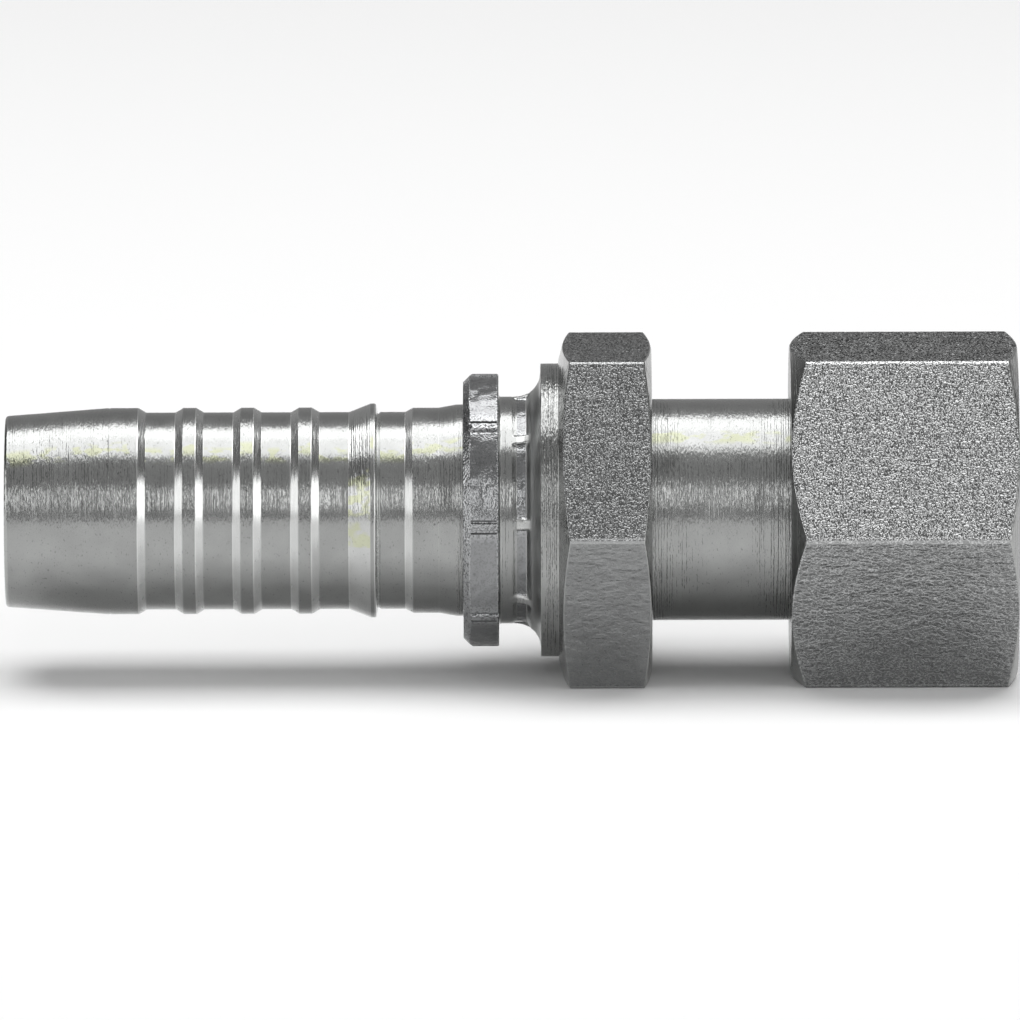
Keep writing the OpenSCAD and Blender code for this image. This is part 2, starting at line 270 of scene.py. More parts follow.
class ZincLook(bpy.types.PropertyGroup):
    """Colours and grain of the plated steel."""

    turned_colour: swatch("Turned zinc", "Plating on turned steel", "9c9d9c")
    # Painted light: the flanks are the same zinc as the turned steel, painted paler for the light
    # that they catch
    flank_colour: swatch("Flanks", "Plating on the grooves' sides", "c8c9c8")
    # Painted light: the barb's ramp and the collar's tabs are the same zinc, painted paler for the
    # light that they catch
    ramp_colour: swatch("Ramp", "Plating on the barb's ramp", "c0c1c0")
    # Painted light: the neck's fillet lies in the shade of the collar and the flange, and is
    # painted paler
    satin_colour: swatch("Neck", "Plating in the neck's fillet", "bebfbe")
    drawn_colour: swatch("Drawn zinc", "Plating on the hexagon", "979898")
    nut_colour: swatch("Grained zinc", "Plating on the rough nut", "b6b7b7")
    pressed_colour: swatch("Pressed zinc", "Plating on the crimp", "8c8d8e")
    straw_colour: swatch("Straw tint", "Passivation's faint stain", "fdffe2")
    feed: length("Feed", "Distance between two turning marks", 0.19 * MM)
    pit: length("Pits", "Width of the pits and scuffs in smooth zinc", 0.14 * MM)
    grain: length("Grain", "Width of the grains in the rough skin", 0.14 * MM)


class StudioSettings(bpy.types.PropertyGroup):
    """Camera, floor and lamps."""

    elevation: slope("Elevation", "Camera's height over the horizon", 9.5)
    distance: length("Distance", "From the camera to the fitting", 2)
    frame_width: length("Frame width", "Width that the picture covers", 98.9 * MM)
    shift: length("Shift", "Camera's aim along the fitting from its middle", -0.12 * MM)
    floor_reach: length("Floor reach", "From the middle to the card's edge", 3)
    roll: slope("Roll", "Camera's turn about its own line of sight", 0.17)
    floor_colour: swatch("Floor", "White card under the fitting", "fdfdfd")
    world_colour: swatch("Room", "Pale walls of the studio", "b2b2b2")
    flag_colour: swatch("Flags", "Dark cloths at both sides", "606060")
    far_wall_colour: swatch("Far wall", "Dark wall at the back", "9a9a9a")


def arc_corner(before, at, after, rounding):
    """Points of the arc that rounds one corner of a section."""
    to_before = before - at
    to_after = after - at
    half = to_before.angle(to_after) / 2
    if math.pi / 2 - half < STRAIGHT:
        return [at] * (CORNER_FACETS + 1)
    room = ROUNDING_ROOM * min(to_before.length, to_after.length)
    radius = min(rounding, room * math.tan(half))
    inward = (to_before.normalized() + to_after.normalized()).normalized()
    middle = at + inward * radius / math.sin(half)
    start = at + to_before.normalized() * radius / math.tan(half) - middle
    end = at + to_after.normalized() * radius / math.tan(half) - middle
    turn = math.atan2(start.x * end.y - start.y * end.x, start.dot(end))
    return [middle + Matrix.Rotation(turn * i / CORNER_FACETS, 2) @ start
            for i in range(CORNER_FACETS + 1)]


def rounded(section):
    """Section as (along, radius, finish, worn), each corner with a rounding made an arc."""
    points = []
    places = [Vector(point[:2]) for point in section]
    for i, (along, radius, rounding, finish) in enumerate(section):
        if rounding == 0:
            points.append((along, radius, finish, 0.0))
            continue
        arc = arc_corner(places[i - 1], places[i], places[(i + 1) % len(section)], rounding)
        points += [(p.x, p.y, finish, 1.0) for p in arc[:-1]]
        points.append((arc[-1].x, arc[-1].y, finish, 0.0))
    return points


def section_angles(corners):
    """Angles of the sections: those given, and even ones that aren't too close to them."""
    step = math.tau / SECTIONS
    angles = []
    for angle in [corner % math.tau for corner in corners] + [i * step for i in range(SECTIONS)]:
        if all(abs((angle - a + math.pi) % math.tau - math.pi) > CLOSE_SECTIONS for a in angles):
            angles.append(angle)
    angles.sort()
    return angles + [angles[0] + math.tau]


def loft(name, materials, corners, section_at):
    """Mesh object of one piece, from its section at each angle above the horizontal front."""
    order = list(materials)
    angles = section_angles(corners)
    sections = [section_at(angle) for angle in angles]
    vertices = [(TIP_X + point[0], -point[1] * math.cos(angle),
                 AXIS_HEIGHT + point[1] * math.sin(angle))
                for angle, section in zip(angles, sections) for point in section]
    count = len(sections[0])
    faces, finishes, wear_and_painted_shade = [], [], []
    for column, section in enumerate(sections[:-1]):
        for i, (_, _, finish, rubbed) in enumerate(section):
            a, b = column * count + i, column * count + (i + 1) % count
            faces.append((a, b, b + count, a + count))
            finishes.append(order.index(finish))
            wear_and_painted_shade.append(rubbed)
    mesh = bpy.data.meshes.new(name)
    mesh.from_pydata(vertices, [], faces)
    mesh.polygons.foreach_set("material_index", finishes)
    mesh.attributes.new("edge_wear_and_painted_shade", "FLOAT", "FACE").data.foreach_set("value", wear_and_painted_shade)
    shape = bmesh.new()
    shape.from_mesh(mesh)
    bmesh.ops.remove_doubles(shape, verts=shape.verts, dist=WELD)
    bmesh.ops.recalc_face_normals(shape, faces=shape.faces)
    if any(len(edge.link_faces) != 2 for edge in shape.edges):
        raise RuntimeError(f"{name} isn't closed")
    shape.to_mesh(mesh)
    shape.free()
    mesh.shade_smooth()
    mesh.set_sharp_from_angle(angle=SHARP_ANGLE)
    for material in materials.values():
        mesh.materials.append(material)
    piece = bpy.data.objects.new(name, mesh)
    bpy.context.scene.collection.objects.link(piece)
    weighted = piece.modifiers.new("Weighted normals", "WEIGHTED_NORMAL")
    weighted.keep_sharp = True
    return piece


def place_piece(piece, body, node):
    """Gives a piece its place in the frame."""
    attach(piece, body)
    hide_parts(node)


def nearest_offset(angle, step):
    """Signed angle from the nearest multiple of a step."""
    return angle - round(angle / step) * step


def hexagon_corner(flats, rounding):
    """Angle from a hexagon's corner at which its rounding meets the flat."""
    middle = (flats / 2 - rounding) / math.cos(math.pi / 6)
    return math.atan2(rounding / 2, middle + rounding * math.cos(math.pi / 6))


def hexagon_radius(angle, flats, rounding):
    """Distance from the axis to a hexagon with a flat on top and rounded corners."""
    off = abs(nearest_offset(angle, SIXTH))
    if off >= hexagon_corner(flats, rounding):
        return flats / 2 / math.cos(math.pi / 6 - off)
    middle = (flats / 2 - rounding) / math.cos(math.pi / 6)
    return middle * math.cos(off) + math.sqrt(rounding ** 2 - (middle * math.sin(off)) ** 2)


def hexagon_angles(flats, rounding):
    """Angles at which sections are needed to round a hexagon's corners."""
    reach = hexagon_corner(flats, rounding)
    return [corner * SIXTH + reach * share for corner in range(6) for share in ROUND_STEPS]


def rub_corner(section, angle, flats, rounding):
    """Marks the skin as rubbed where a section lies on one of the hexagon's rounded corners."""
    off = nearest_offset(angle, SIXTH)
    reach = hexagon_corner(flats, rounding)
    if not -reach - CLOSE_SECTIONS < off < reach - CLOSE_SECTIONS:
        return section
    return [(along, radius, finish, 1.0 if finish == SKIN else wear_and_painted_shade)
            for along, radius, finish, wear_and_painted_shade in section]


def grip(tail, collar, locks):
    """Where the crimped collar grips the stem; both pieces are cut to these same points."""
    neck_at = COLLAR_AT + collar.collar
    flange_at = neck_at + collar.neck
    lock_at = COLLAR_AT + locks.lock_lead
    neck_lock_at = neck_at + locks.neck_lead
    shoulder_at = SWIVEL_AT - locks.shoulder
    seat, core = tail.seat_radius, tail.core_radius
    points = [(COLLAR_AT, seat)]
    for start, depth in ((lock_at, locks.lock_depth), (neck_lock_at, locks.neck_depth)):
        points += [(start, seat), (start + depth, seat - depth),
                   (start + depth + locks.floor, seat - depth)]
    points.insert(4, (neck_at, seat))
    points += [(flange_at - locks.core_lead, core), (shoulder_at, core),
               (shoulder_at, tail.swivel_radius)]
    return [(along, radius, 0, TURNED) for along, radius in points]


def tail_section(tail):
    """Outside of the hose tail, from the tip to the collar's seat."""
    edge = tail.edge_rounding
    grooves_at = tail.lead_in + tail.first_land
    section = [
        (0, tail.tip_radius, tail.tip_rounding, LAND),
        (tail.lead_in - tail.mark_width / 2, tail.land_radius, 0, LAND),
        (tail.lead_in, tail.land_radius - tail.mark_depth, 0, LAND),
        (tail.lead_in + tail.mark_width / 2, tail.land_radius, 0, LAND),
        (grooves_at, tail.land_radius, edge, PALE),
    ]
    at = grooves_at + tail.flank
    for _ in range(tail.ridges):
        rise = at + tail.groove
        section += [
            (at, tail.floor_radius, edge, TURNED),
            (rise, tail.floor_radius, edge, PALE),
            (rise + tail.flank, tail.land_radius, edge, LAND),
            (rise + tail.flank + tail.ridge, tail.land_radius, edge, PALE),
        ]
        at = rise + 2 * tail.flank + tail.ridge
    barb_at = at + tail.groove
    barb_back_at = barb_at + tail.barb_ramp + tail.barb_crest
    undercut_at = barb_back_at + tail.barb_back
    back_groove_at = undercut_at + tail.undercut
    last_land_at = back_groove_at + tail.back_groove + tail.flank
    seat_cone_at = last_land_at + tail.last_land
    section += [
        (at, tail.floor_radius, edge, TURNED),
        (barb_at, tail.floor_radius, edge, RAMP),
        (barb_at + tail.barb_ramp, tail.barb_radius, tail.barb_rounding, LAND),
        (barb_back_at, tail.barb_radius, edge, PALE),
        (undercut_at, tail.floor_radius - tail.undercut_depth, tail.undercut_rounding, PALE),
        (back_groove_at, tail.floor_radius, BROKEN_EDGE, TURNED),
        (last_land_at - tail.flank, tail.floor_radius, edge, PALE),
        (last_land_at, tail.last_land_radius, edge, LAND),
        (seat_cone_at, tail.last_land_radius, edge, TURNED),
        (seat_cone_at + tail.seat_cone, tail.seat_radius, edge, TURNED),
    ]
    return section


def head_section(tail, nut):
    """Sealing head inside the nut, down to the bore."""
    head_radius = nut.core_radius - tail.head_clearance
    chamfer = tail.head_chamfer
    mouth = head_radius - tail.head_rim
    depth = (mouth - tail.bore_radius) / math.tan(tail.seat_angle)
    head_at = NUT_AT + nut.wall + tail.head_gap
    return [
        (head_at, tail.swivel_radius, 0, TURNED),
        (head_at, head_radius - chamfer, BROKEN_EDGE, TURNED),
        (head_at + chamfer, head_radius, BROKEN_EDGE, TURNED),
        (HEAD_END - chamfer, head_radius, BROKEN_EDGE, TURNED),
        (HEAD_END, head_radius - chamfer, BROKEN_EDGE, TURNED),
        (HEAD_END, mouth, tail.seat_rounding, TURNED),
        (HEAD_END - depth, tail.bore_radius, tail.seat_rounding, TURNED),
    ]


def add_node(tree, kind, inputs, **settings):
    """Adds one shader node with its settings and inputs.

    An input is a value, another node's socket, or a node whose first output it takes.
    """
    node = tree.nodes.new("ShaderNode" + kind)
    for name, value in settings.items():
        setattr(node, name, value)
    for name, value in inputs.items():
        if isinstance(value, bpy.types.Node):
            value = value.outputs[0]
        if isinstance(value, bpy.types.NodeSocket):
            tree.links.new(value, node.inputs[name])
        else:
            node.inputs[name].default_value = value
    return node


def new_material(name):
    """New material and its empty node tree."""
    material = bpy.data.materials.new(name)
    material.use_nodes = True
    material.node_tree.nodes.clear()
    return material, material.node_tree


def add_metal(tree, inputs):
    """Adds a material's output with a metal shader on it that takes the given inputs."""
    shader = add_node(tree, "BsdfPrincipled", {"Metallic": 1.0, **inputs})
    add_node(tree, "OutputMaterial", {"Surface": shader})


def grain_noise(tree, widths, detail):
    """Noise over the piece whose grains have the given width along X, Y and Z."""
    place = add_node(tree, "TexCoord", {}).outputs["Object"]
    scaled = add_node(tree, "VectorMath", {0: place, 1: [1 / width for width in widths]},
                      operation="MULTIPLY")
    return add_node(tree, "TexNoise", {"Vector": scaled, "Scale": 1.0,
                                       "Detail": detail}).outputs["Fac"]


def plating(tree, colour, worn_gain):
    """Colour of the zinc: cloudy, brighter where an edge is rubbed, and darker where the mark is
    below zero, which is painted shade.
    """
    clouds = grain_noise(tree, (3 * MM, 3 * MM, 3 * MM), 3)
    # A MapRange node takes the value, its two ends and what those ends become
    gain = add_node(tree, "MapRange", {0: clouds, 1: NOISE_LOW, 2: NOISE_HIGH, 3: 0.94, 4: 1.08})
    wear_and_painted_shade = add_node(tree, "Attribute", {}, attribute_name="edge_wear_and_painted_shade").outputs["Fac"]
    rubbed = add_node(tree, "Math", {0: wear_and_painted_shade, 1: worn_gain, 2: gain}, operation="MULTIPLY_ADD")
    return add_node(tree, "VectorMath", {0: colour, "Scale": rubbed}, operation="SCALE")


def turned_zinc(look, name, colour, streak, roughness, stain=None):
    """Bright zinc on turned steel: fine rings round the axis streak the light, with a few pits."""
    material, tree = new_material(name)
    rings = grain_noise(tree, (0.6 * look.feed, 40 * look.feed, 40 * look.feed), 0)
    breaks = grain_noise(tree, (0.7 * look.feed, 3 * look.feed, 3 * look.feed), 1)
    bands = grain_noise(tree, (1.6 * MM, 30 * MM, 30 * MM), 2)
    pits = grain_noise(tree, (look.pit, 2 * look.pit, 2 * look.pit), 1)
    colour = plating(tree, colour, 0.2)
    if stain:
        colour = stained(tree, look, colour, stain)
    clean = add_node(tree, "MapRange", {0: pits, 1: 0.24, 2: 0.34, 3: 0.6, 4: 1})
    pitted = add_node(tree, "VectorMath", {0: colour, "Scale": clean}, operation="SCALE")
    gloss = add_node(tree, "MapRange", {0: bands, 1: NOISE_LOW, 2: NOISE_HIGH, 3: roughness,
                                        4: roughness + 0.07})
    height = add_node(tree, "Math", {0: breaks, 1: 0.7, 2: rings}, operation="MULTIPLY_ADD")
    ringed = add_node(tree, "Bump", {"Height": height, "Strength": 1, "Distance": streak})
    rough = add_node(tree, "Bump", {"Height": pits, "Strength": 1, "Distance": streak / 8,
                                    "Normal": ringed})
    add_metal(tree, {"Base Color": pitted, "Roughness": gloss, "Normal": rough})
    return material


def stained(tree, look, colour, stain):
    """Colour with straw patches where the passivation dried, between two depths in front."""
    far, near, least = stain
    place = add_node(tree, "TexCoord", {}).outputs["Object"]
    _, depth, height = add_node(tree, "SeparateXYZ", {"Vector": place}).outputs
    outer = add_node(tree, "MapRange", {0: depth, 1: -far - STAIN_FADE, 2: -far, 3: 0, 4: 1})
    inner = add_node(tree, "MapRange", {0: depth, 1: -near, 2: STAIN_FADE - near, 3: 1, 4: 0})
    above = add_node(tree, "Math", {0: height, 1: STAIN_FLOOR}, operation="GREATER_THAN")
    band = add_node(tree, "Math", {0: outer, 1: inner}, operation="MULTIPLY")
    band = add_node(tree, "Math", {0: band, 1: above}, operation="MULTIPLY")
    clouds = grain_noise(tree, (1.7 * MM, 1.1 * MM, 1.1 * MM), 2)
    patches = add_node(tree, "MapRange", {0: clouds, 1: least, 2: least + 0.1, 3: 0, 4: 1})
    share = add_node(tree, "Math", {0: band, 1: patches}, operation="MULTIPLY")
    return add_node(tree, "Mix", {0: share, 6: colour, 7: (*look.straw_colour, 1)},
                    data_type="RGBA", blend_type="MULTIPLY").outputs[2]


def plunged_zinc(look, name, colour, roughness):
    """Zinc where the tool was plunged in, with a soft sheen and short chatter marks; its pale
    colour is painted light.
    """
    material, tree = new_material(name)
    chatter = grain_noise(tree, (look.feed, 8 * look.feed, 8 * look.feed), 1)
    gloss = add_node(tree, "MapRange", {0: chatter, 1: NOISE_LOW, 2: NOISE_HIGH, 3: roughness,
                                        4: roughness + 0.08})
    rough = add_node(tree, "Bump", {"Height": chatter, "Strength": 1, "Distance": 0.015 * MM})
    add_metal(tree, {"Base Color": plating(tree, colour, 0.1), "Roughness": gloss,
                     "Normal": rough})
    return material


def grained_zinc(name, colour, grain, depth, dark, ripple, floor):
    """Zinc on the rough skin of drawn hexagon bar: pitted grains that glitter, wavy below.

    Pits keep the given dark share of the colour, and the skin between the painted crest highlights
    of the ripples the ripple share; level flats carry painted glints, and grains lower than the
    floor leave no bump.
    """
    material, tree = new_material(name)
    place = add_node(tree, "TexCoord", {}).outputs["Object"]
    height = add_node(tree, "SeparateXYZ", {"Vector": place}).outputs["Z"]
    upper = add_node(tree, "Math", {0: height, 1: AXIS_HEIGHT}, operation="GREATER_THAN")
    round_grains = grain_noise(tree, (grain, 1.7 * grain, grain), 0)
    wavy_grains = grain_noise(tree, (2.8 * grain, 3 * grain, 1.6 * grain), 1)
    # Below the axis the skin is rippled, with painted highlights: the crests are painted bright
    # where the noise crosses its middle
    crest = add_node(tree, "Math", {0: wavy_grains, 1: 0.5}, operation="SUBTRACT")
    crest = add_node(tree, "Math", {0: crest}, operation="ABSOLUTE")
    crest = add_node(tree, "MapRange", {0: crest, 1: 0, 2: 0.05, 3: 0.7, 4: 0.4})
    grains = add_node(tree, "Mix", {0: upper, 2: wavy_grains, 3: round_grains}, data_type="FLOAT")
    pits_and_painted_crests = add_node(tree, "Mix", {0: upper, 2: crest, 3: round_grains}, data_type="FLOAT")
    swells = grain_noise(tree, (1.2 * MM, 0.7 * MM, 0.7 * MM), 2)
    least = add_node(tree, "MapRange", {0: upper, 1: 0, 2: 1, 3: ripple, 4: dark})
    clean = add_node(tree, "MapRange", {0: pits_and_painted_crests, 1: 0.4, 2: 0.58, 3: least, 4: 1})
    # Painted glints: level flats mirror an even ceiling, where the grains' glints are painted on
    # as lighter and darker spots
    facing = add_node(tree, "TexCoord", {}).outputs["Normal"]
    upright = add_node(tree, "SeparateXYZ", {"Vector": facing}).outputs["Z"]
    upright = add_node(tree, "Math", {0: upright}, operation="ABSOLUTE")
    level = add_node(tree, "MapRange", {0: upright, 1: 0.9, 2: 0.97, 3: 0, 4: 1})
    patches = grain_noise(tree, (2 * grain, 3 * grain, 2 * grain), 1)
    gain = add_node(tree, "MapRange", {0: patches, 1: 0.4, 2: 0.6, 3: 0.6, 4: 1.4})
    gain = add_node(tree, "Mix", {0: level, 2: 1, 3: gain}, data_type="FLOAT")
    pits_and_painted_glints = add_node(tree, "Math", {0: clean, 1: gain}, operation="MULTIPLY")
    pitted = add_node(tree, "VectorMath", {0: plating(tree, colour, 0.3), "Scale": pits_and_painted_glints},
                      operation="SCALE")
    gloss = add_node(tree, "MapRange", {0: grains, 1: NOISE_LOW, 2: NOISE_HIGH, 3: 0.28, 4: 0.18})
    wear_and_painted_shade = add_node(tree, "Attribute", {}, attribute_name="edge_wear_and_painted_shade").outputs["Fac"]
    kept = add_node(tree, "MapRange", {0: wear_and_painted_shade, 1: 0, 2: 1, 3: 1, 4: 0.25})
    raised = add_node(tree, "MapRange", {0: grains, 1: floor, 2: 1, 3: floor, 4: 1})
    coarse = add_node(tree, "Bump", {"Height": swells, "Strength": kept, "Distance": 1.5 * depth})
    fine = add_node(tree, "Bump", {"Height": raised, "Strength": kept, "Distance": depth,
                                   "Normal": coarse})
    add_metal(tree, {"Base Color": pitted, "Specular Tint": clean, "Roughness": gloss,
                     "Normal": fine})
    return material


def pressed_zinc(look):
    """Zinc on steel squeezed by press jaws: dented, scuffed where the jaws slid off, and with
    painted shade in the lines beside the bars.
    """
    material, tree = new_material("pressed_zinc")
    scuffs = grain_noise(tree, (1.3 * look.pit, 1.6 * look.pit, 1.6 * look.pit), 1)
    dents = grain_noise(tree, (0.7 * MM, 1.1 * MM, 1.1 * MM), 0)
    wear_and_painted_shade = add_node(tree, "Attribute", {}, attribute_name="edge_wear_and_painted_shade").outputs["Fac"]
    least = add_node(tree, "MapRange", {0: wear_and_painted_shade, 1: 0, 2: 1, 3: 0.82, 4: 0.45})
    clean = add_node(tree, "MapRange", {0: scuffs, 1: 0.36, 2: 0.5, 3: least, 4: 1})
    scuffed = add_node(tree, "VectorMath", {0: plating(tree, look.pressed_colour, 0.6),
                                            "Scale": clean}, operation="SCALE")
    gloss = add_node(tree, "MapRange", {0: dents, 1: NOISE_LOW, 2: NOISE_HIGH, 3: 0.12, 4: 0.24})
    rubbed = add_node(tree, "MapRange", {0: wear_and_painted_shade, 1: 0, 2: 1, 3: 0.3, 4: 1})
    coarse = add_node(tree, "Bump", {"Height": dents, "Strength": 1, "Distance": 0.12 * MM})
    fine = add_node(tree, "Bump", {"Height": scuffs, "Strength": rubbed, "Distance": 0.1 * MM,
                                   "Normal": coarse})
    add_metal(tree, {"Base Color": scuffed, "Roughness": gloss, "Normal": fine})
    return material


class FITTING_OT_stem(bpy.types.Operator):
    """Builds the turned stem with its barbed tail and sealing head"""

    bl_idname = "fitting.stem"
    bl_label = "Build Stem"

    def execute(self, context):
        tail = context.scene.fitting_tail
        nut = context.scene.fitting_nut
        look = context.scene.fitting_look
        locks = grip(tail, context.scene.fitting_collar, context.scene.fitting_grip)
        bore = [(tail.bore_chamfer, tail.bore_radius, BROKEN_EDGE, TURNED),
                (0, tail.bore_radius + tail.bore_chamfer, BROKEN_EDGE, TURNED)]
        neck = (*locks[-1][:3], LAND)
        section = rounded(bore + tail_section(tail) + locks[:-1] + [neck]
                          + head_section(tail, nut))
        turned, ramp = look.turned_colour, look.ramp_colour
        # Grooves' floors are turned finer than the lands, and the barb's ramp finest; the flanks
        # and the ramp are painted paler than the turned zinc, as painted light
        materials = {
            TURNED: turned_zinc(look, "finely_turned_zinc", turned, streak=0.033 * MM,
                                roughness=0.16, stain=LAND_STAIN),
            LAND: turned_zinc(look, "turned_zinc", turned, streak=0.05 * MM, roughness=0.17,
                              stain=LAND_STAIN),
            PALE: plunged_zinc(look, "plunged_zinc", look.flank_colour, roughness=0.2),
            RAMP: turned_zinc(look, "ramp_zinc", ramp, streak=0.03 * MM, roughness=0.14,
                              stain=RAMP_STAIN),
        }
        piece = loft("turned_stem", materials, [], lambda angle: section)
        place_piece(piece, "root", "stem")
        return {"FINISHED"}


def eased(value, start, end):
    """Share from 0 to 1 with soft ends, as a value goes from start to end."""
    share = min(1, max(0, (value - start) / (end - start)))
    return share * share * (3 - 2 * share)


def bar_offset(angle, sizes):
    """Signed angle from the nearest bar that the jaws left."""
    return nearest_offset(angle - sizes.jaw_turn, math.tau / sizes.jaws)


def pressed_radius(angle, sizes):
    """Distance from the axis to the locking collar: shallow jaw faces with a bar between them."""
    centre = sizes.jaw_radius - sizes.face_radius
    off = math.pi / sizes.jaws - abs(bar_offset(angle, sizes))
    face = -centre * math.cos(off) + math.sqrt(sizes.jaw_radius ** 2
                                               - (centre * math.sin(off)) ** 2)
    half = sizes.bar_width / 2
    away = abs(bar_offset(angle, sizes)) * sizes.bar_radius
    top = 1 - eased(away, half * BAR_STEPS[0], half * BAR_STEPS[1])
    groove = top < 0.5 and 1 - eased(away, half * BAR_STEPS[2], half * BAR_STEPS[3])
    return face + (sizes.bar_radius - face) * top - sizes.bar_groove * groove


def bar_rubbing_and_painted_shade(angle, sizes):
    """Rubbing from 0 to 1 towards a bar, and -1 for the painted shade in the lines beside it."""
    half = sizes.bar_width / 2
    # A section stands for the strip that follows it
    strip = angle + STRIP_STEP * half / sizes.bar_radius
    away = abs(bar_offset(strip, sizes)) * sizes.bar_radius
    # Painted shade: the line beside a bar is darkened as if in shadow
    if BAR_STEPS[2] < away / half < BAR_STEPS[3]:
        return -1.0
    return 1 - eased(away, half, sizes.scuff_reach)


def neck_radius(along, angle, sizes):
    """Radius of the neck: a pressed band with a raised tab behind each bar, then the fillet."""
    rise = max(0, along - sizes.neck + sizes.fillet)
    plain = sizes.neck_radius + sizes.fillet - math.sqrt(max(0, sizes.fillet ** 2 - rise ** 2))
    half = sizes.press_length / 2
    band = 1 - eased(abs(along - sizes.press_middle), half, half + sizes.press_wall)
    away = abs(bar_offset(angle, sizes)) * sizes.neck_radius
    tab = 1 - eased(away, sizes.tab_width / 2 * TAB_STEPS[0], sizes.tab_width / 2 * TAB_STEPS[-1])
    depth = plain - sizes.neck_radius + sizes.press_depth
    return plain - depth * band * (1 - tab) + sizes.tab_rise * band * tab


def collar_section(angle, tail, sizes, locks):
    """Section of the crimped collar at one angle, from its rear face round to its bore."""
    outside = pressed_radius(angle, sizes)
    face = sizes.face_radius - sizes.chamfer
    neck_at = COLLAR_AT + sizes.collar
    flange_at = neck_at + sizes.neck
    hexagon_at = flange_at + sizes.flange
    flats = hexagon_radius(angle, BODY_FLATS, sizes.corner_rounding)
    rear = BODY_FLATS / 2 - sizes.rear_inset
    front = BODY_FLATS / 2 - sizes.front_inset
    run = math.tan(sizes.chamfer_angle)
    edge = sizes.edge_rounding
    section = [
        (COLLAR_AT, tail.seat_radius, 0, PRESSED),
        (COLLAR_AT, face, edge, PRESSED),
        (COLLAR_AT + outside - face, outside, sizes.flat_rounding, PRESSED),
        (neck_at, outside, sizes.back_rounding, PRESSED),
        (neck_at, neck_radius(0, angle, sizes), sizes.collar_fillet, TURNED),
    ]
    first = 2 * sizes.collar_fillet
    on_tab = abs(bar_offset(angle, sizes)) * sizes.neck_radius < sizes.tab_width / 2
    for i in range(NECK_STATIONS + 1):
        along = first + (sizes.neck - first) * i / NECK_STATIONS
        off = along - sizes.press_middle
        # Past the band the neck and its fillet take the satin zinc, painted paler as painted light
        finish = TURNED if off < 0 else PALE
        # The raised tabs take the ramp's pale colour, a painted highlight
        if abs(off) < sizes.press_length / 2:
            finish = RAMP if on_tab else PRESSED
        section.append((neck_at + along, neck_radius(along, angle, sizes), 0, finish))
    section += [
        (flange_at, sizes.flange_radius, edge, LAND),
        (hexagon_at, sizes.flange_radius, edge, TURNED),
        (hexagon_at, rear, edge, TURNED),
        (hexagon_at + (flats - rear) * run, flats, sizes.flat_rounding, SKIN),
        (SWIVEL_AT - (flats - front) * run, flats, sizes.flat_rounding, TURNED),
        (SWIVEL_AT, front, edge, TURNED),
        (SWIVEL_AT, tail.swivel_radius, 0, TURNED),
    ]
    marks = bar_rubbing_and_painted_shade(angle, sizes)
    chamfer_at = COLLAR_AT + (outside - face) / 2
    points = []
    for along, radius, finish, wear_and_painted_shade in rounded(section + locks[:0:-1]):
        if finish == PRESSED and wear_and_painted_shade == 0:
            # The jaws' edges rubbed the rear face and its chamfer all round; elsewhere the bars'
            # rubbing, with painted shade in the lines beside them
            wear_and_painted_shade = 1.0 if along < chamfer_at else marks
        points.append((along, radius, finish, wear_and_painted_shade))
    return rub_corner(points, angle, BODY_FLATS, sizes.corner_rounding)


class FITTING_OT_collar(bpy.types.Operator):
    """Builds the crimped collar with its neck, flange and hexagon"""

    bl_idname = "fitting.collar"
    bl_label = "Build Collar"

    def execute(self, context):
        tail = context.scene.fitting_tail
        sizes = context.scene.fitting_collar
        look = context.scene.fitting_look
        locks = grip(tail, sizes, context.scene.fitting_grip)
        corners = hexagon_angles(BODY_FLATS, sizes.corner_rounding)
        bar = sizes.bar_width / 2 / sizes.bar_radius
        tab = sizes.tab_width / 2 / sizes.neck_radius
        for jaw in range(sizes.jaws):
            middle = sizes.jaw_turn + jaw * math.tau / sizes.jaws
            for side in (-1, 1):
                corners += [middle + side * bar * share for share in BAR_STEPS]
                corners += [middle + side * tab * share for share in TAB_STEPS]
        turned = look.turned_colour
        # The flange is turned roughest, and the tabs and the fillet have only a soft sheen; both
        # are painted paler, as painted light
        materials = {
            TURNED: turned_zinc(look, "turned_collar_zinc", turned, streak=0.03 * MM,
                                roughness=0.15),
            LAND: turned_zinc(look, "rough_turned_zinc", turned, streak=0.1 * MM,
                              roughness=0.15),
            PALE: plunged_zinc(look, "satin_zinc", look.satin_colour, roughness=0.32),
            RAMP: plunged_zinc(look, "tab_zinc", look.ramp_colour, roughness=0.25),
            SKIN: grained_zinc("drawn_zinc", look.drawn_colour, look.grain, depth=0.12 * MM,
                               dark=0.48, ripple=0.84, floor=0.5),
            PRESSED: pressed_zinc(look),
        }
        piece = loft("crimped_hex_collar", materials, corners,
                     lambda angle: collar_section(angle, tail, sizes, locks))
        place_piece(piece, "root", "hex_collar")
        return {"FINISHED"}


def thread_shape(nut):
    """Depth of the thread, and the shares of its pitch that a flank and the crest's flat take."""
    depth = nut.major_radius - nut.core_radius
    flank = depth * math.tan(FLANK_ANGLE) / nut.pitch
    return depth, flank, 1 - 2 * flank - ROOT_FLAT


def thread_radius(phase, nut):
    """Radius of the nut's thread at a share of its pitch: crest flat, flank, root flat, flank."""
    depth, flank, crest = thread_shape(nut)
    phase %= 1
    if phase < crest:
        return nut.core_radius
    if phase < crest + flank:
        return nut.core_radius + depth * (phase - crest) / flank
    if phase < 1 - flank:
        return nut.major_radius
    return nut.major_radius - depth * (phase - 1 + flank) / flank


